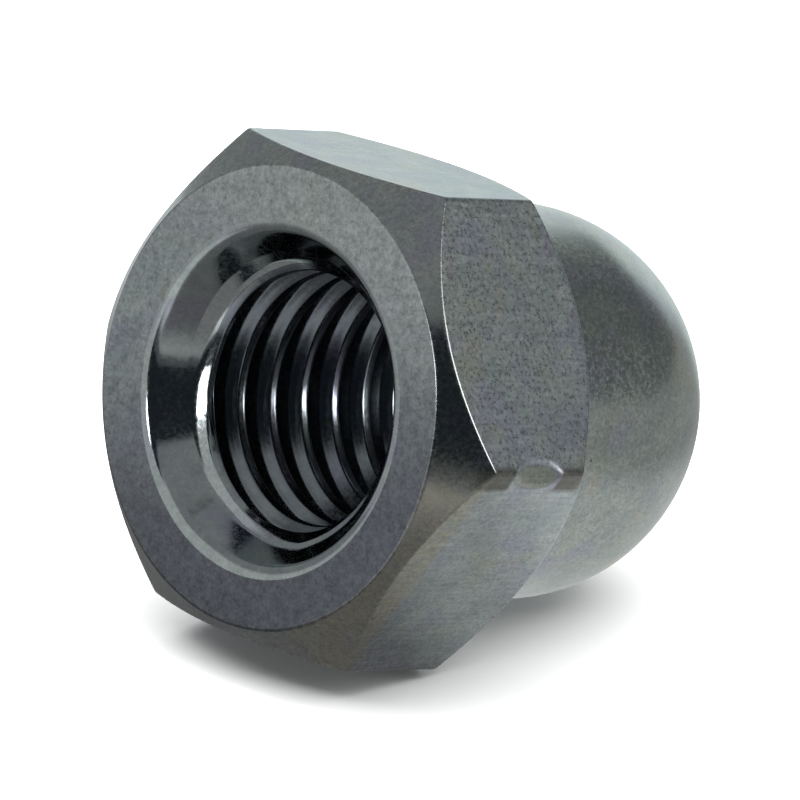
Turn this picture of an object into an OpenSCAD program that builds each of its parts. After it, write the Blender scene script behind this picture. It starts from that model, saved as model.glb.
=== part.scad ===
// Hexagon cap nut with a domed closed end and a blind threaded hole.
// One solid piece, lying at rest on one flat with its dome on the ground.

/* [Hexagon] */
// Width across flats
across_flats = 16; // [15.5:0.1:16.5]
// Diameter of the bearing face
bearing_d = 15.2; // [14.6:0.1:15.4]
// Slope of the front corner chamfer, from the bearing face
front_chamfer_angle = 42; // [30:1:45]
// Height of the hexagon at the middle of a flat
flat_h = 6.85; // [6.4:0.05:7.2]
// Slope of the rear corner chamfer, from the bearing face
rear_chamfer_angle = 45; // [35:1:50]

/* [Dome] */
// Diameter of the dome and its neck
dome_d = 13.4; // [13:0.1:13.8]
// Overall height, from the bearing face to the top of the dome
total_h = 18; // [17.6:0.1:18.4]

/* [Threaded hole] */
// Diameter of the hole at the thread crests
bore_d = 8.4; // [8.3:0.05:8.7]
// Depth of the full hole, before the drill point
bore_depth = 13; // [12:0.25:13.5]
// Point angle of the drill
drill_angle = 118; // [110:1:140]
// Diameter of the countersink at the bearing face, outside its rounded lip
countersink_d = 11.8; // [11.4:0.1:12.2]
// Radius of the countersink's rounded lip
lip_r = 0.55; // [0.2:0.05:0.7]
// Included angle of the countersink
countersink_angle = 70; // [66:1:90]
// Diameter of the short plain hole at the foot of the countersink
entry_d = 9.4; // [9.2:0.1:9.9]
// Depth of the short plain hole, from the bearing face
entry_depth = 1.4; // [1.3:0.05:2.2]
// Included angle of the shoulder between the plain hole and the thread
shoulder_angle = 130; // [110:5:165]

/* [Corner dent] */
// Length of the flattened patch, along the corner edge
dent_l = 2; // [1.5:0.1:2.4]
// Width of the flattened patch, across the corner edge
dent_w = 0.8; // [0.6:0.05:1]
// Distance of the patch from the bearing face
dent_z = 3.55; // [3.2:0.05:3.9]

/* [Hidden] */
flat_r = across_flats / 2;
corner_r = flat_r / cos(30);
bearing_r = bearing_d / 2;
dome_r = dome_d / 2;
bore_r = bore_d / 2;
sink_r = countersink_d / 2;
dome_z = total_h - dome_r;
out_r = corner_r + 1;
// Heights at which the chamfer cones cross a radius
front_z = (out_r - bearing_r) * tan(front_chamfer_angle);
rear_out_z = flat_h - (out_r - flat_r) * tan(rear_chamfer_angle);
neck_z = flat_h + (flat_r - dome_r) * tan(rear_chamfer_angle);
entry_r = entry_d / 2;
// The rounded lip ends where it reaches the slope of the cone
lip_turn = 90 - countersink_angle / 2;
cone_r = sink_r - lip_r * sin(lip_turn);
cone_z = lip_r * (1 - cos(lip_turn));
entry_z = cone_z + (cone_r - entry_r) * tan(lip_turn);
entry_end = max(entry_depth, entry_z + 0.05);
thread_z = entry_end + (entry_r - bore_r) / tan(shoulder_angle / 2);
drill_tip = bore_r / tan(drill_angle / 2);
// The dent is cut by a cylinder whose axis crosses the corner edge squarely
dent_depth = dent_w / 2 * tan(30);
dent_r = (pow(dent_l / 2, 2) + pow(dent_depth, 2)) / (2 * dent_depth);
// The nut tips back on the rear edge of its lower flat until the dome lands
reach = sqrt(pow(flat_r, 2) + pow(dome_z - flat_h, 2));
tip = acos(dome_r / reach) - atan2(dome_z - flat_h, flat_r);
mouth_h = flat_r * cos(tip) + flat_h * sin(tip);
// Centre of the footprint, measured along the ground from the bearing face
mid_y = (dome_z * cos(tip) + dome_r - bearing_r * sin(tip)) / 2;

module hexagon() {
    intersection() {
        translate([0, 0, -1])
            cylinder(h = neck_z + 2, r = corner_r, $fn = 6);
        rotate_extrude($fn = 180)
            polygon([
                [0, 0], [bearing_r, 0], [out_r, front_z], [out_r, rear_out_z],
                [dome_r, neck_z], [0, neck_z]
            ]);
    }
}

module dome() {
    rotate_extrude($fn = 180)
        intersection() {
            union() {
                translate([0, flat_h - 2])
                    square([dome_r, dome_z - flat_h + 2]);
                translate([0, dome_z])
                    circle(r = dome_r, $fn = 180);
            }
            translate([0, flat_h - 2])
                square([dome_r + 1, total_h]);
        }
}

module threaded_hole() {
    translate([0, 0, -1])
        cylinder(h = bore_depth + 1, r = bore_r, $fn = 144);
    translate([0, 0, bore_depth - 0.001])
        cylinder(h = drill_tip, r1 = bore_r, r2 = 0, $fn = 144);
}

// Rounded lip, countersink, short plain hole and shoulder, as one turned cut
module entry() {
    rotate_extrude($fn = 144)
        difference() {
            polygon([
                [0, -1], [sink_r, -1], [sink_r, 0], [cone_r, cone_z],
                [entry_r, entry_z], [entry_r, entry_end],
                [bore_r, thread_z], [0, thread_z]
            ]);
            translate([sink_r, lip_r])
                circle(r = lip_r, $fn = 144);
        }
}

module corner_dent() {
    translate([corner_r - dent_depth + dent_r, 0, dent_z])
        rotate([90, 0, 0])
            cylinder(h = 6, r = dent_r, center = true, $fn = 180);
}

module cap_nut() {
    color([0.70, 0.72, 0.73])
        translate([0, -mid_y, mouth_h])
            rotate([-90 - tip, 0, 0])
                difference() {
                    union() {
                        hexagon();
                        dome();
                    }
                    threaded_hole();
                    entry();
                    corner_dent();
                }
}

cap_nut();
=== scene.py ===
"""Looks of the cap nut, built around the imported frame.

Mesh code works in millimetres in the nut's own coordinates: an angle a clockwise from the top flat,
a radius r from the axis and a depth z from the bearing face. place() takes them to the row frame.
"""

import math

import bpy
import numpy as np
from mathutils import Matrix, Vector


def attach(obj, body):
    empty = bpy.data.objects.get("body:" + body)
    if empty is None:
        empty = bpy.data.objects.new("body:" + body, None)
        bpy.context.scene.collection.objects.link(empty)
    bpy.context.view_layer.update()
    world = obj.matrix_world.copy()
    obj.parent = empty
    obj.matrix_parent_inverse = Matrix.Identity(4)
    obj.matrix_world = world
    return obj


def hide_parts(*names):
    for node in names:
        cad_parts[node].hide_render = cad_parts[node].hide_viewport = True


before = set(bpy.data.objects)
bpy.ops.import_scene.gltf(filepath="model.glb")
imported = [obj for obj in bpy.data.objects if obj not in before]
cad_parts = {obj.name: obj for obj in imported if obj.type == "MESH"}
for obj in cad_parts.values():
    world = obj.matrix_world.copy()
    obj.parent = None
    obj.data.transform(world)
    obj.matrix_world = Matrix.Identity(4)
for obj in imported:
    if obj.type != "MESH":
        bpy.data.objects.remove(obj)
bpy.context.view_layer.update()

MM = 0.001
# Sizes of the part, as in its source
FLAT = 8.0
BEAR = 7.6
DOME = 6.7
FRONT = math.radians(42)
REAR = math.radians(45)
FLAT_H = 6.85
HEIGHT = 18.0
DOME_Z = HEIGHT - DOME
CREST = 4.2
SINK = 5.9
LIP = 0.55
TURN = math.radians(55)
# The countersink ends in a shoulder that changes around the mouth. Each row holds an angle in degrees clockwise
# from the highest point, the radius where the shoulder starts on the cone, the radius and the depth of its inner
# corner, and the depth at which the short slope behind it reaches the thread crests
MOUTH = [
    (0, 4.56, 4.20, 1.80, 1.81), (23, 4.70, 4.20, 1.86, 1.87), (60, 4.74, 4.26, 1.70, 1.86), (90, 4.78, 4.36, 1.55, 1.84),
    (135, 4.86, 4.56, 1.25, 1.82), (174, 4.95, 4.80, 1.00, 1.84), (185, 4.88, 4.70, 1.10, 1.84), (196, 4.81, 4.53, 1.24, 1.82),
    (205, 4.75, 4.47, 1.33, 1.78), (214, 4.73, 4.45, 1.39, 1.74), (225, 4.73, 4.41, 1.41, 1.69), (236, 4.75, 4.40, 1.41, 1.70),
    (249, 4.73, 4.31, 1.44, 1.72), (258, 4.71, 4.25, 1.49, 1.68), (266, 4.69, 4.20, 1.55, 1.58), (276, 4.66, 4.20, 1.57, 1.58), (285, 4.59, 4.20, 1.64, 1.65),
    (300, 4.52, 4.20, 1.72, 1.73), (315, 4.50, 4.20, 1.75, 1.76), (330, 4.52, 4.20, 1.73, 1.74), (345, 4.56, 4.20, 1.73, 1.74),
    (360, 4.56, 4.20, 1.80, 1.81),
]
BORE_Z = 13.0
TIP_Z = BORE_Z + CREST / math.tan(math.radians(59))
# Thread
PITCH = 1.5
ROOT = 5.0
CREST_W = 0.39
FLANK = (ROOT - CREST) * math.tan(math.radians(30))
START = 2.2411
# Rest: on the rear edge of the lower flat and on the dome
REACH = math.hypot(FLAT, DOME_Z - FLAT_H)
TIP = math.acos(DOME / REACH) - math.atan2(DOME_Z - FLAT_H, FLAT)
MOUTH_AT = Vector((
    0,
    -(DOME_Z * math.cos(TIP) + DOME - BEAR * math.sin(TIP)) / 2,
    FLAT * math.cos(TIP) + FLAT_H * math.sin(TIP),
))
AX_X = np.array([1.0, 0.0, 0.0])
AX_Y = np.array([0.0, math.sin(TIP), math.cos(TIP)])
AX_Z = np.array([0.0, math.cos(TIP), -math.sin(TIP)])


def place(p):
    """Nut coordinates (right, up, depth) in millimetres to the row frame in metres."""
    return (np.array(MOUTH_AT) + p[:, :1] * AX_X + p[:, 1:2] * AX_Y + p[:, 2:3] * AX_Z) * MM


# ---------------------------------------------------------------- camera
def make_camera():
    yaw, pitch, roll = 0.7579368710836395, -0.00836762050590144, -0.2768256982045654
    shift_x, shift_y, away = -0.545716203261331, 0.0093982827684679, 33.659
    scale = 244.8969
    rot = (
        np.array([[1, 0, 0], [0, math.cos(pitch), math.sin(pitch)], [0, -math.sin(pitch), math.cos(pitch)]])
        @ np.array([[math.cos(yaw), 0, math.sin(yaw)], [0, 1, 0], [-math.sin(yaw), 0, math.cos(yaw)]])
        @ np.array([[math.cos(roll), -math.sin(roll), 0], [math.sin(roll), math.cos(roll), 0], [0, 0, 1]])
    )
    right, up, depth = [r[0] * AX_X + r[1] * AX_Y + r[2] * AX_Z for r in rot]
    where = np.array(MOUTH_AT) + FLAT * (-shift_x * right - shift_y * up - away * depth)
    cam = bpy.data.objects.new("camera", bpy.data.cameras.new("camera"))
    bpy.context.scene.collection.objects.link(cam)
    m = Matrix.Identity(4)
    for i in range(3):
        m[i][0], m[i][1], m[i][2], m[i][3] = right[i], up[i], -depth[i], where[i] * MM
    cam.matrix_world = m
    cam.data.sensor_width = 36
    cam.data.lens = scale * away / 800 * 36
    cam.data.clip_start, cam.data.clip_end = 0.02, 20
    bpy.context.scene.camera = cam


# ---------------------------------------------------------------- outer surface
def columns():
    """Angle and hexagon radius of every meridian. The spacing tightens towards the rounded corners."""
    rho, n_flat, n_corner = 0.2, 38, 7
    half = (FLAT - rho) * math.tan(math.radians(30))
    u = np.linspace(-1, 1, n_flat + 1)
    t = half * (u + 0.16 * np.sin(np.pi * u))
    ang, rad = [], []
    for k in range(6):
        mid = math.radians(60 * k)
        ang.append(mid + np.arctan2(t, FLAT))
        rad.append(np.hypot(t, FLAT))
        c = mid + math.radians(30)
        d = np.radians(np.linspace(-30, 30, n_corner + 2)[1:-1])
        reach = (FLAT - rho) / math.cos(math.radians(30))
        x, y = reach + rho * np.cos(d), rho * np.sin(d)
        ang.append(c + np.arctan2(y, x))
        rad.append(np.hypot(x, y))
    return np.concatenate(ang), np.concatenate(rad)


def fillet(a, b, c, rad, n):
    """n points of a round at b between a and c, for every meridian."""
    u, v = a - b, c - b
    lu, lv = np.linalg.norm(u, axis=1)[:, None], np.linalg.norm(v, axis=1)[:, None]
    u, v = u / lu, v / lv
    half = np.arccos(np.clip((u * v).sum(1), -1, 1))[:, None] / 2
    t = np.minimum(rad / np.tan(half), 0.4 * np.minimum(lu, lv))
    r = t * np.tan(half)
    centre = b + (u + v) / np.linalg.norm(u + v, axis=1)[:, None] * (r / np.sin(half))
    s0, s1, turn = b + u * t - centre, b + v * t - centre, math.pi - 2 * half
    return [centre + (np.sin((1 - q) * turn) * s0 + np.sin(q * turn) * s1) / np.sin(turn) for q in np.linspace(0, 1, n)]


def between(a, b, shares):
    return [a + (b - a) * q for q in shares]


def outer_rows(rad):
    """Rings of (radius, depth) per meridian from the lip to the last ring before the dome's top, and each ring's zone."""
    one = np.ones_like(rad)
    p = lambda r, z: np.stack([r * one, z * one], 1)
    lip, bear = p(SINK, 0), p(BEAR, 0)
    front = p(rad, (rad - BEAR) * math.tan(FRONT))
    rear = p(rad, FLAT_H - (rad - FLAT) * math.tan(REAR))
    skin = DOME - 0.003
    neck = p(skin, FLAT_H + (FLAT - DOME) * math.tan(REAR))
    shoulder = p(skin, DOME_Z)
    rows, zones = [], []

    def add(new, zone):
        rows.extend(new)
        zones.extend([zone] * len(new))

    add([lip], "lip")
    f1, f2 = fillet(lip, bear, front, 0.13, 5), fillet(bear, front, rear, 0.14, 5)
    f3, f4 = fillet(front, rear, neck, 0.10, 5), fillet(rear, neck, shoulder, 0.25, 5)
    add(between(lip, f1[0], [0.03, 0.12, 0.25, 0.4, 0.55, 0.7, 0.85, 0.95, 0.985]), "bearing")
    add(f1, "edge")
    add(between(f1[-1], f2[0], [0.06, 0.2, 0.4, 0.6, 0.8, 0.94]), "chamfer")
    add(f2, "edge")
    ends = [0.008, 0.03]
    inner = list(np.linspace(0.06, 0.94, 30))
    add(between(f2[-1], f3[0], ends + inner + [1 - q for q in reversed(ends)]), "flat")
    add(f3, "edge")
    add(between(f3[-1], f4[0], [0.05, 0.2, 0.4, 0.6, 0.8, 0.95]), "rear")
    add(f4, "dome")
    add(between(f4[-1], shoulder, [0.03, 0.15, 0.3, 0.45, 0.6, 0.75, 0.9, 1.0]), "dome")
    add([p(skin * math.cos(q), DOME_Z + skin * math.sin(q)) for q in np.radians(np.linspace(3, 87.5, 30))], "dome")
    return rows, zones


def dent(pts):
    """Flattened oval patch on the corner edge at the right."""
    x, y, z = pts[:, 0], pts[:, 1], pts[:, 2]
    corner = FLAT / math.cos(math.radians(30))
    s = np.clip(1 - ((z - 3.55) / 1.02) ** 2, 0, None)
    limit = corner - 0.235 * s ** 0.6 - 0.02
    inside = (s > 0) & (np.abs(y) < 0.7) & (x > limit)
    x = np.where(inside, limit + 0.04 * (x - limit), x)
    return np.stack([x, y, z], 1)


# ---------------------------------------------------------------- threaded hole
def thread_profile(d):
    """Radius of the thread groove at distance d past the crest's deeper edge, with small rounds."""
    keys = np.array([0, FLANK, PITCH - CREST_W - FLANK, PITCH - CREST_W, PITCH])
    vals = np.array([CREST, ROOT, ROOT, CREST, CREST])
    f = lambda q: np.interp(np.mod(q, PITCH), keys, vals)
    w = np.linspace(-0.028, 0.028, 9)
    r = np.mean([f(d + q) for q in w], axis=0)
    # the tap left a fine ridge along the flank that faces the mouth
    m = np.mod(d, PITCH)
    return r - 0.016 * np.clip(1 - np.abs(m - 0.893) / 0.028, 0, None)


def thread_radius(a_deg, z):
    """Radius of the threaded hole at an angle and depth. The thread fades out above the drill point."""
    phi = np.mod(a_deg + 15.861, 360)
    d = z - (START + PITCH * a_deg / 360)
    # the first groove runs in from nothing, low on the left
    depth = np.where(d < -PITCH - 0.02, 0, np.where(d < 0, np.clip((a_deg - 100) / 50, 0, 1), 1))
    r = CREST + (thread_profile(d) - CREST) * depth
    fade = np.clip((11.4 - z) / 1.1, 0, 1)
    r = CREST + (r - CREST) * fade * fade * (3 - 2 * fade)
    # a torn burr where the first thread begins, and a curled edge further up
    burr = np.exp(-((phi - 206) / 6.5) ** 2 - ((z - 1.72 - (phi - 206) * 0.008) / 0.06) ** 2)
    curl = np.clip((phi - 236) / 8, 0, 1) * np.clip((272 - phi) / 8, 0, 1) * np.exp(-((d + PITCH) / 0.045) ** 2)
    return r - 0.22 * burr * np.clip((r - CREST) / 0.2, 0, 1) - 0.07 * curl


def entry_radius(a_deg, z):
    """Radius of the turned mouth: rounded lip, countersink and shoulder."""
    cone_r = SINK - LIP * math.sin(TURN)
    cone_z = LIP * (1 - math.cos(TURN))
    slope = math.tan(TURN)
    phi = np.mod(a_deg + 15.861, 360)
    table = np.array(MOUTH).T
    head, corner, corner_z, end_z = [np.interp(phi, table[0], row) for row in table[1:]]
    head_z = cone_z + (cone_r - head) * slope
    end_z = np.maximum(end_z, corner_z + 0.01)

    def profile(q):
        r = np.where(q < head_z, cone_r - (q - cone_z) / slope, head + (corner - head) * (q - head_z) / (corner_z - head_z))
        back = corner + (CREST - 0.02 - corner) * (q - corner_z) / (end_z - corner_z)
        return np.maximum(np.where(q < corner_z, r, back), CREST - 0.02)

    lip = SINK - np.sqrt(np.clip(LIP ** 2 - (LIP - z) ** 2, 0, None))
    # the inner corner is crisp, the one on the cone is worn round
    blend = 0.012 + 0.05 * np.clip((corner_z - 0.05 - z) / 0.1, 0, 1)
    body = np.mean([profile(z + w * blend) for w in np.linspace(-1, 1, 9)], axis=0)
    r = np.where(z < cone_z, lip, body)
    off = np.clip(1 - z / 1.1, 0, 1)
    return r + 0.09 * off * np.sin(np.radians(phi)) - 0.05 * off * np.cos(np.radians(phi))


def soft_max(a, b, k):
    h = np.clip(0.5 + 0.5 * (a - b) / k, 0, 1)
    return b + (a - b) * h + k * h * (1 - h)


def soft_min(a, b, k):
    return -soft_max(-a, -b, k)


def hole_radius(a_deg, z):
    return soft_max(entry_radius(a_deg, z), thread_radius(a_deg, z), 0.03)


def build_nut():
    ang, rad = columns()
    m = len(ang)
    a_deg = np.degrees(ang)
    verts, zone_of, quads = [], [], []
    count = 0

    def ring(r, z, zone, shape=None):
        nonlocal count
        p = np.stack([r * np.sin(ang), r * np.cos(ang), z * np.ones(m)], 1)
        if shape is not None:
            p = shape(p)
        verts.append(p)
        zone_of.extend([zone] * m)
        ids = np.arange(count, count + m)
        count += m
        return ids

    def strip(lower, upper):
        nxt = np.roll(np.arange(m), -1)
        for k in range(m):
            quads.append((lower[k], lower[nxt[k]], upper[nxt[k]], upper[k]))

    # outside, from the lip to the dome's top
    rows, zones = outer_rows(rad)
    phi = ang + math.radians(15.861)
    last = None
    rings = []
    for row, zone in zip(rows, zones):
        r, z = row[:, 0].copy(), row[:, 1].copy()
        if zone == "lip":
            r = r + 0.09 * np.sin(phi) - 0.05 * np.cos(phi)
        elif zone == "bearing":
            r = r + (0.09 * np.sin(phi) - 0.05 * np.cos(phi)) * np.clip((BEAR - 0.2 - r) / (BEAR - 0.2 - SINK), 0, 1)
        shaped = zone in ("flat", "edge")
        ids = ring(r, z, zone, dent if shaped else None)
        rings.append(ids)
    lip_ring = rings[0]
    for lo, up in zip(rings[:-1], rings[1:]):
        strip(lo, up)
    verts.append(np.array([[0, 0, HEIGHT - 0.003]]))
    zone_of.append("dome")
    top = count
    count += 1
    for k in range(m):
        quads.append((rings[-1][k], rings[-1][(k + 1) % m], top))

    # mouth, ring by ring down to where the full thread starts
    cone_z = LIP * (1 - math.cos(TURN))
    z_lip = LIP * (1 - np.cos(np.linspace(0, TURN, 10)[1:]))
    z_rows = list(z_lip) + list(np.linspace(cone_z, 0.96, 9)[1:]) + list(np.arange(0.99, 1.20, 0.03))
    z_rows += list(np.arange(1.21, 2.311, 0.02))
    above = lip_ring
    for z in z_rows:
        zone = "cone" if z < 1.1 else ("band" if z < 1.6 else "thread")
        ids = ring(hole_radius(a_deg, z + 0 * a_deg), z, zone)
        strip(ids, above)
        above = ids
    z_top = z_rows[-1]

    # full thread: rows follow the helix, so every crest edge is a clean line
    z_bot = 11.6
    near = PITCH - CREST_W
    off = sorted([
        0.0, 0.028, 0.11, 0.23, 0.35, FLANK - 0.028, FLANK, FLANK + 0.028,
        near - FLANK - 0.028, near - FLANK, near - FLANK + 0.028, 0.76, 0.865, 0.893, 0.921, 1.0,
        near - 0.028, near, near + 0.028, near + 0.13, near + 0.26, PITCH - 0.028,
    ])
    n = len(off)
    g_lo, g_hi = -3 * n, 9 * n
    a_ext = np.append(a_deg, a_deg[0] + 360)
    bottom_r = thread_radius(a_deg, z_bot + 0 * a_deg)
    bottom = ring(bottom_r, z_bot, "thread")
    ids = np.full((m + 1, g_hi - g_lo), -1, dtype=int)
    own = []
    for gi, g in enumerate(range(g_lo, g_hi)):
        d = off[g % n] + PITCH * (g // n)
        z = START + d + PITCH * a_ext / 360
        for k in range(m):
            if z[k] < z_top + 0.012:
                ids[k, gi] = above[k]
            elif z[k] > z_bot - 0.02:
                ids[k, gi] = bottom[k]
            else:
                ids[k, gi] = count + len(own)
                own.append((k, z[k]))
    own_k = np.array([k for k, _ in own])
    own_z = np.array([z for _, z in own])
    own_r = hole_radius(a_deg[own_k], own_z)
    verts.append(np.stack([own_r * np.sin(ang[own_k]), own_r * np.cos(ang[own_k]), own_z], 1))
    zone_of.extend(["thread"] * len(own))
    count += len(own)
    for gi in range(g_hi - g_lo):
        ids[m, gi] = ids[0, gi + n] if gi + n < g_hi - g_lo else bottom[0]
    for gi in range(g_hi - g_lo - 1):
        for k in range(m):
            face = (ids[k, gi + 1], ids[k + 1, gi + 1], ids[k + 1, gi], ids[k, gi])
            seen = []
            for v in face:
                if v not in seen:
                    seen.append(v)
            if len(seen) > 2:
                quads.append(tuple(seen))

    # plain hole and drill point
    below = bottom
    for z in [12.0, 12.4, 12.75, 12.92]:
        ids2 = ring(CREST + 0 * ang, z, "bore")
        strip(ids2, below)
        below = ids2
    slope = math.tan(math.radians(59))
    for r in [4.17, 4.08, 3.9, 3.4, 2.7, 2.0, 1.3, 0.7, 0.25]:
        z = BORE_Z + (CREST - r) / slope - (0.02 if r > 4.1 else 0)
        ids2 = ring(r + 0 * ang, z, "bore")
        strip(ids2, below)
        below = ids2
    verts.append(np.array([[0, 0, TIP_Z - 0.03]]))
    zone_of.append("bore")
    for k in range(m):
        quads.append((count, below[(k + 1) % m], below[k]))
    count += 1

    local = np.concatenate(verts)
    world = place(local)
    mesh = bpy.data.meshes.new("cap_nut_body")
    mesh.from_pydata(world.tolist(), [], [tuple(int(v) for v in q) for q in quads])
    mesh.update()
    tri = [(q[0], q[i], q[i + 1]) for q in quads for i in range(1, len(q) - 1)]
    tri = np.array(tri)
    volume = np.einsum("ij,ij->i", world[tri[:, 0]], np.cross(world[tri[:, 1]], world[tri[:, 2]])).sum() / 6
    if volume < 0:
        mesh.flip_normals()
    mesh.validate()
    for p in mesh.polygons:
        p.use_smooth = True
    # masks that the finish reads: turned faces, flats, dome and hole
    group = {
        "lip": (0.6, 0, 0), "bearing": (0, 0, 0), "edge": (0.3, 0.4, 0), "chamfer": (0.75, 0, 0), "flat": (0, 1, 0),
        "rear": (0.5, 0, 0.5), "dome": (0, 0, 1), "cone": (1, 0, 0), "band": (0.95, 0, 0), "thread": (1, 0, 0), "bore": (0.4, 0, 0),
    }
    col = np.array([[*group[z], 1.0] for z in zone_of], np.float32)
    layer = mesh.color_attributes.new("zones", "FLOAT_COLOR", "POINT")
    layer.data.foreach_set("color", col.ravel())
    nut = mesh.attributes.new("nut", "FLOAT_VECTOR", "POINT")
    nut.data.foreach_set("vector", local.astype(np.float32).ravel())
    obj = bpy.data.objects.new("cap_nut_body", mesh)
    bpy.context.scene.collection.objects.link(obj)
    weighted = obj.modifiers.new("weighted", "WEIGHTED_NORMAL")
    weighted.mode = "FACE_AREA"
    weighted.weight = 60
    print("nut volume mm3", round(abs(volume) * 1e9, 1), "triangles", len(tri))
    return obj


# ---------------------------------------------------------------- finish
class Nodes:
    """Short hand for building a node tree."""

    def __init__(self, tree):
        self.tree = tree
        self.tree.nodes.clear()

    def add(self, kind, inputs=None, **props):
        node = self.tree.nodes.new(kind)
        for k, v in props.items():
            setattr(node, k, v)
        for k, v in (inputs or {}).items():
            if isinstance(v, bpy.types.NodeSocket):
                self.tree.links.new(v, node.inputs[k])
            else:
                node.inputs[k].default_value = v
        return node

    def math(self, op, a, b=0.5, clamp=False):
        return self.add("ShaderNodeMath", {0: a, 1: b}, operation=op, use_clamp=clamp).outputs[0]

    def vmath(self, op, a, b=(0, 0, 0)):
        node = self.add("ShaderNodeVectorMath", {0: a, 1: b}, operation=op)
        return node.outputs["Value" if op in ("LENGTH", "DOT_PRODUCT", "DISTANCE") else "Vector"]

    def noise(self, vec, scale, detail=2.0, rough=0.5):
        return self.add("ShaderNodeTexNoise", {"Vector": vec, "Scale": scale, "Detail": detail, "Roughness": rough}).outputs["Fac"]

    def remap(self, v, a, b, c=0.0, d=1.0, smooth=True):
        return self.add(
            "ShaderNodeMapRange", {"Value": v, "From Min": a, "From Max": b, "To Min": c, "To Max": d},
            interpolation_type="SMOOTHSTEP" if smooth else "LINEAR", clamp=True,
        ).outputs["Result"]

    def mix(self, fac, a, b, mode="MIX"):
        node = self.add("ShaderNodeMix", data_type="RGBA", blend_type=mode)
        for key, v in ((0, fac), (6, a), (7, b)):
            if isinstance(v, bpy.types.NodeSocket):
                self.tree.links.new(v, node.inputs[key])
            else:
                node.inputs[key].default_value = v
        return node.outputs[2]


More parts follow.
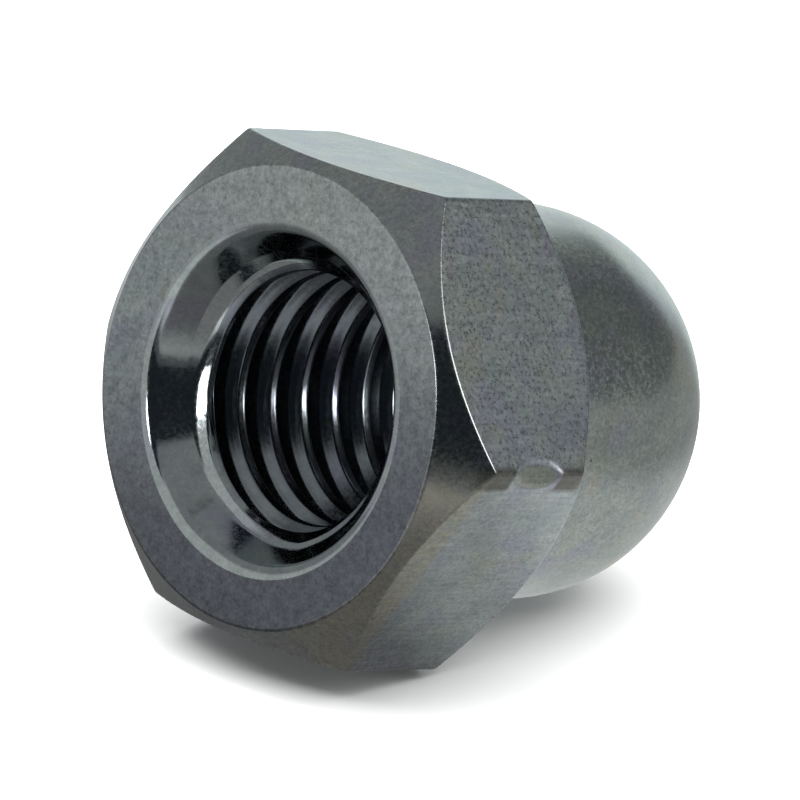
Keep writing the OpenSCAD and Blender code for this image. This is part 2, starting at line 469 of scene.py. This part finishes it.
def zinc():
    mat = bpy.data.materials.new("zinc_plate")
    mat.use_nodes = True
    n = Nodes(mat.node_tree)
    pos = n.add("ShaderNodeAttribute", attribute_name="nut").outputs["Vector"]
    zones = n.add("ShaderNodeSeparateColor", {"Color": n.add("ShaderNodeAttribute", attribute_name="zones").outputs["Color"]})
    polish, flat, dome = zones.outputs[0], zones.outputs[1], zones.outputs[2]

    xyz = n.add("ShaderNodeSeparateXYZ", {0: pos})
    x, y, z = xyz.outputs
    off = lambda dx, dy, dz: n.vmath("ADD", pos, (dx, dy, dz))
    scaled = lambda sx, sy, sz: n.vmath("MULTIPLY", pos, (sx, sy, sz))

    # the plating: fine speckle, cloudy patches of blue, violet and straw, rolled streaks on the flats
    grain = n.noise(pos, 7.0, 3, 0.75)
    specks = n.noise(off(11, 2, 5), 15.0, 1, 0.5)
    blotch = n.noise(off(3, 9, 1), 0.9, 3, 0.6)
    violet = n.noise(off(7, 3, 5), 0.55, 2, 0.55)
    straw = n.noise(off(1, 13, 4), 0.5, 2, 0.6)
    axial = n.noise(scaled(9, 9, 0.5), 1.0, 3, 0.6)

    radius = n.math("SQRT", n.math("ADD", n.math("MULTIPLY", x, x), n.math("MULTIPLY", y, y)))
    outer = n.math("SUBTRACT", 1.0, n.remap(polish, 0.55, 0.75), clamp=True)
    base = n.mix(n.remap(blotch, 0.35, 0.65), (0.41, 0.455, 0.46, 1), (0.49, 0.53, 0.525, 1))
    base = n.mix(n.math("MULTIPLY", n.remap(violet, 0.48, 0.66), 0.8), base, (0.43, 0.435, 0.51, 1))
    base = n.mix(n.math("MULTIPLY", n.remap(straw, 0.54, 0.7), n.math("MULTIPLY", outer, 0.7)), base, (0.50, 0.50, 0.44, 1))

    # the bearing face is duller; painted shade makes it darker and more violet towards the low side, and painted light
    # makes it lighter towards the high side
    face = n.math("MULTIPLY", n.remap(z, 0.12, 0.04), n.remap(polish, 0.55, 0.35))
    low = n.remap(n.math("ADD", n.math("MULTIPLY", y, 1.0), n.math("MULTIPLY", x, -0.35)), 3.5, -5.0)
    base = n.mix(face, base, (0.78, 0.80, 0.82, 1), "MULTIPLY")
    # painted shade: darker and more violet towards the low side of the bearing face
    base = n.mix(n.math("MULTIPLY", face, low), base, (0.18, 0.19, 0.22, 1))
    # painted light: the bearing face is made lighter towards its high side
    high = n.remap(n.math("ADD", y, n.math("MULTIPLY", x, 0.12)), 1.5, 6.5)
    base = n.mix(n.math("MULTIPLY", n.math("MULTIPLY", face, high), 0.8), base, (0.45, 0.48, 0.475, 1))

    base = n.mix(dome, base, (0.84, 0.835, 0.79, 1), "MULTIPLY")

    # painted shade: the inside of the threaded hole is made darker
    inside = n.math("SUBTRACT", 1.0, dome, clamp=True)
    hole = n.math("MULTIPLY", n.math("MULTIPLY", n.remap(z, 1.45, 1.75), n.remap(radius, 5.3, 5.1)), inside)
    # painted light: the upper side of the mouth's shoulder is kept out of the painted shade and made lighter
    shoulder = n.math("MULTIPLY", n.math("MULTIPLY", n.remap(polish, 0.985, 0.965), n.remap(polish, 0.9, 0.94)), n.remap(y, 0.3, 1.6))
    hole = n.math("MULTIPLY", hole, n.math("SUBTRACT", 1.0, shoulder))
    base = n.mix(hole, base, (0.45, 0.455, 0.49, 1), "MULTIPLY")
    base = n.mix(n.math("MULTIPLY", shoulder, n.math("MULTIPLY", inside, n.remap(radius, 5.3, 5.1))), base, (0.72, 0.76, 0.76, 1))
    # the drill point is rougher and brighter
    point = n.math("MULTIPLY", n.math("MULTIPLY", n.remap(z, 12.7, 12.95), n.remap(radius, 4.35, 4.25)), inside)
    base = n.mix(point, base, (0.62, 0.64, 0.65, 1))

    # brownish bloom on the front chamfer, strongest by the right-hand corner and below it
    cham = n.math("MULTIPLY", n.remap(radius, 7.5, 7.75), n.remap(z, 1.7, 1.2))
    side = n.math("MULTIPLY", n.remap(y, 1.2, -1.2), n.remap(x, 1.5, 5.0))
    bloom = n.math("MULTIPLY", n.math("MULTIPLY", cham, n.math("ADD", n.math("MULTIPLY", side, 0.8), 0.25)), n.remap(blotch, 0.3, 0.6, 0.4, 1.0))
    base = n.mix(bloom, base, (0.50, 0.485, 0.41, 1))

    # the worn corner edge on the right, dark either side of the flattened patch, the patch itself, and a painted shade
    # ring round the patch
    edge = n.math("MULTIPLY", n.remap(n.math("ABSOLUTE", n.math("ADD", y, 0.22)), 0.55, 0.3), n.remap(x, 8.6, 8.9))
    along = n.math("ABSOLUTE", n.math("SUBTRACT", z, 3.55))
    worn = n.math("MULTIPLY", edge, n.math("MULTIPLY", n.remap(along, 1.0, 1.2), n.remap(along, 2.9, 1.9)))
    base = n.mix(n.math("MULTIPLY", worn, 0.85), base, (0.13, 0.12, 0.10, 1))
    oval = n.math("ADD", n.math("POWER", n.math("DIVIDE", along, 1.0), 2.0), n.math("POWER", n.math("DIVIDE", n.math("ABSOLUTE", n.math("ADD", y, 0.14)), 0.40), 2.0))
    right = n.remap(x, 8.2, 8.6)
    # painted shade: a dark ring along the border of the flattened patch
    dent_rim_shade = n.math("MULTIPLY", n.math("MULTIPLY", n.remap(oval, 0.75, 1.0), n.remap(oval, 1.35, 1.05)), right)
    patch = n.math("MULTIPLY", n.remap(oval, 1.0, 0.8), right)
    base = n.mix(patch, base, (0.34, 0.355, 0.315, 1))
    base = n.mix(n.math("MULTIPLY", dent_rim_shade, 0.4), base, (0.12, 0.12, 0.11, 1))

    # speckle and small dark pits
    speckle = n.math("ADD", n.remap(grain, 0.25, 0.75, 0.68, 1.32, smooth=False), n.remap(specks, 0.3, 0.7, -0.09, 0.09, smooth=False))
    level = n.math("ADD", n.math("MULTIPLY", n.math("SUBTRACT", speckle, 1.0), n.remap(polish, 0.6, 1.0, 1.0, 0.45, smooth=False)), 1.0)
    mottle = n.noise(off(5, 1, 8), 3.8, 3, 0.65)
    level = n.math("ADD", level, n.math("MULTIPLY", n.remap(mottle, 0.3, 0.7, -0.24, 0.24, smooth=False), n.math("ADD", n.math("MULTIPLY", face, 0.7), 0.3)))
    streak = n.math("MULTIPLY", n.remap(axial, 0.3, 0.7, -0.11, 0.11, smooth=False), flat)
    level = n.math("ADD", level, streak)
    cells = n.add("ShaderNodeTexVoronoi", {"Vector": pos, "Scale": 0.62, "Randomness": 1.0})
    pick = n.add("ShaderNodeSeparateColor", {"Color": cells.outputs["Color"]})
    size = n.remap(pick.outputs[0], 0.45, 1.0, 0.02, 0.17, smooth=False)
    wobble = n.math("MULTIPLY", n.math("SUBTRACT", grain, 0.5), 0.25)
    spot = n.remap(n.math("ADD", n.math("SUBTRACT", cells.outputs["Distance"], n.math("MULTIPLY", size, 0.62)), wobble), -0.02, 0.02, 1, 0)
    spot = n.math("MULTIPLY", n.math("MULTIPLY", spot, n.remap(pick.outputs[1], 0.4, 0.6)), outer)
    level = n.math("MULTIPLY", level, n.math("SUBTRACT", 1.0, n.math("MULTIPLY", spot, 0.55)))
    base = n.vmath("SCALE", base)
    n.tree.links.new(level, base.node.inputs["Scale"])
    rough = n.math("ADD", n.remap(polish, 0, 1, 0.32, 0.11, smooth=False), n.remap(grain, 0.3, 0.7, -0.06, 0.06))

    rough = n.math("ADD", rough, n.math("ADD", n.math("MULTIPLY", point, 0.02), n.math("MULTIPLY", dome, -0.08)))
    rough = n.math("ADD", rough, n.math("MULTIPLY", hole, 0.07))

    height = n.math("ADD", n.math("MULTIPLY", grain, 0.6), n.math("MULTIPLY", n.math("MULTIPLY", axial, flat), 0.5))
    height = n.math("SUBTRACT", height, n.math("MULTIPLY", spot, 0.5))
    bump = n.add("ShaderNodeBump", {"Strength": 0.09, "Distance": 0.00001, "Height": height})
    shader = n.add("ShaderNodeBsdfPrincipled", {
        "Base Color": base, "Roughness": rough, "Metallic": 1.0, "Normal": bump.outputs["Normal"],
    })
    n.add("ShaderNodeOutputMaterial", {"Surface": shader.outputs[0]})
    return mat


# ---------------------------------------------------------------- studio
def studio():
    scene = bpy.context.scene
    scene.view_settings.view_transform = "Standard"
    mesh = bpy.data.meshes.new("floor")
    s = 3.0
    mesh.from_pydata([(-s, -s, 0), (s, -s, 0), (s, s, 0), (-s, s, 0)], [], [(0, 1, 2, 3)])
    floor = bpy.data.objects.new("floor", mesh)
    scene.collection.objects.link(floor)
    mat = bpy.data.materials.new("floor_paper")
    mat.use_nodes = True
    n = Nodes(mat.node_tree)
    coord = n.add("ShaderNodeTexCoord").outputs["Object"]
    tone = n.mix(n.noise(coord, 30, 2), (0.86, 0.86, 0.86, 1), (0.88, 0.88, 0.88, 1))
    paper = n.add("ShaderNodeBsdfPrincipled", {"Base Color": tone, "Roughness": 0.9, "Specular IOR Level": 0.1})

    # what the metal mirrors: the paper glows for reflected rays, with painted shadow dimmer in front of the part where
    # it shades the paper, and painted light bright at the back left
    here = n.vmath("MULTIPLY", coord, (1, 1, 0))
    away = n.math("MAXIMUM", n.vmath("LENGTH", here), 0.001)

    def bearing(az):
        a = math.radians(az)
        return n.math("DIVIDE", n.vmath("DOT_PRODUCT", here, (math.sin(a), -math.cos(a), 0)), away)

    cos = lambda e: math.cos(math.radians(e))
    lead = n.remap(bearing(-30), cos(100), cos(70))
    near = n.remap(away, 0.012, 0.07, 0.16, 0.46)
    card = n.mix(lead, (0.40, 0.415, 0.41, 1), near)
    ahead = n.math("MULTIPLY", n.remap(bearing(0), cos(30), cos(18)), n.remap(away, 0.022, 0.034))
    card = n.mix(ahead, card, (0.66, 0.69, 0.68, 1))
    shade = n.math("MULTIPLY", n.remap(bearing(45), cos(50), cos(40)), n.remap(away, 0.045, 0.11))
    card = n.mix(shade, card, (0.11, 0.12, 0.125, 1))
    beside = n.math("MULTIPLY", n.remap(bearing(140), cos(60), cos(35)), n.remap(away, 0.0125, 0.022, 1, 0))
    card = n.mix(beside, card, (0.70, 0.72, 0.72, 1))
    back = n.math("MULTIPLY", n.remap(bearing(-138), cos(36), cos(20)), n.remap(away, 0.012, 0.018))
    card = n.mix(back, card, (0.88, 0.98, 0.98, 1))
    # painted light and shade: for reflected rays the paper glows with this card instead of being lit
    glow = n.add("ShaderNodeEmission", {"Color": card, "Strength": 1.0})
    shader = n.add("ShaderNodeMixShader", {0: n.add("ShaderNodeLightPath").outputs["Is Glossy Ray"], 1: paper.outputs[0], 2: glow.outputs[0]})
    n.add("ShaderNodeOutputMaterial", {"Surface": shader.outputs[0]})
    mesh.materials.append(mat)

    # the room: pale above and behind, dark on the side that the camera stands on
    world = bpy.data.worlds.new("studio")
    scene.world = world
    world.use_nodes = True
    w = Nodes(world.node_tree)
    ray = w.add("ShaderNodeTexCoord").outputs["Generated"]
    up = w.add("ShaderNodeSeparateXYZ", {0: ray}).outputs["Z"]
    level = w.math("SQRT", w.math("MAXIMUM", w.math("SUBTRACT", 1.0, w.math("MULTIPLY", up, up)), 0.0001))

    def towards(az):
        a = math.radians(az)
        return w.math("DIVIDE", w.vmath("DOT_PRODUCT", ray, (math.sin(a), -math.cos(a), 0)), level)

    sin = lambda e: math.sin(math.radians(e))
    cos = lambda e: math.cos(math.radians(e))

    def patch(az, inner, outer_, low, high, edge=7):
        """1 inside a patch of sky: half widths either side of an azimuth, and an elevation range with soft ends."""
        side = w.remap(towards(az), cos(outer_), cos(inner))
        tall = w.math("MULTIPLY", w.remap(up, sin(low - edge), sin(low)), w.remap(up, sin(high), sin(min(high + edge, 89)), 1, 0))
        return w.math("MULTIPLY", side, tall)

    sky = w.mix(w.remap(towards(158), cos(62), cos(40)), (0.25, 0.26, 0.265, 1), (0.16, 0.175, 0.175, 1))
    sky = w.mix(patch(-24, 26, 40, -10, 52, 8), sky, (0.52, 0.54, 0.53, 1))
    sky = w.mix(patch(42, 37, 44, -20, 42, 6), sky, (0.02, 0.025, 0.03, 1))
    sky = w.mix(patch(-143, 23, 37, -40, 15, 10), sky, (0.92, 1.02, 1.02, 1))
    sky = w.mix(patch(115, 11, 17, 14, 34, 7), sky, (3.8, 3.8, 3.8, 1))
    back = w.add("ShaderNodeBackground", {"Color": sky, "Strength": 1.0})
    w.add("ShaderNodeOutputWorld", {"Surface": back.outputs[0]})

    def softbox(name, az, el, dist, size, power, colour=(1, 1, 1)):
        light = bpy.data.lights.new(name, "AREA")
        light.shape = "RECTANGLE"
        light.size, light.size_y = size
        light.energy = power
        light.color = colour
        o = bpy.data.objects.new(name, light)
        scene.collection.objects.link(o)
        a, e = math.radians(az), math.radians(el)
        d = Vector((math.sin(a) * math.cos(e), -math.cos(a) * math.cos(e), math.sin(e)))
        o.location = Vector((0, 0, 0.008)) + d * dist
        o.rotation_mode = "QUATERNION"
        o.rotation_quaternion = d.to_track_quat("Z", "Y")
        return o

    overhead = softbox("overhead", 200, 80, 1.0, (2.4, 2.4), 60.0)
    overhead.visible_glossy = False
    softbox("key", 2, 20, 0.5, (0.075, 0.075), 0.2)
    # a small glow on the drill point, which the thread crests mirror
    glint = softbox("hole_glow", 0, 0, 0.1, (0.0024, 0.0013), 4.2e-5)
    out = Vector((-0.565, -0.835, 0.026)).normalized()
    glint.location = Vector((0.0026, 0.0058, 0.0071)) + out * 0.0003
    glint.rotation_quaternion = (-out).to_track_quat("Z", "Y")
    glint.data.spread = math.radians(120)
    glint.visible_camera = False


make_camera()
studio()
nut = build_nut()
nut.data.materials.append(zinc())
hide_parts("cap_nut")
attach(nut, "root")
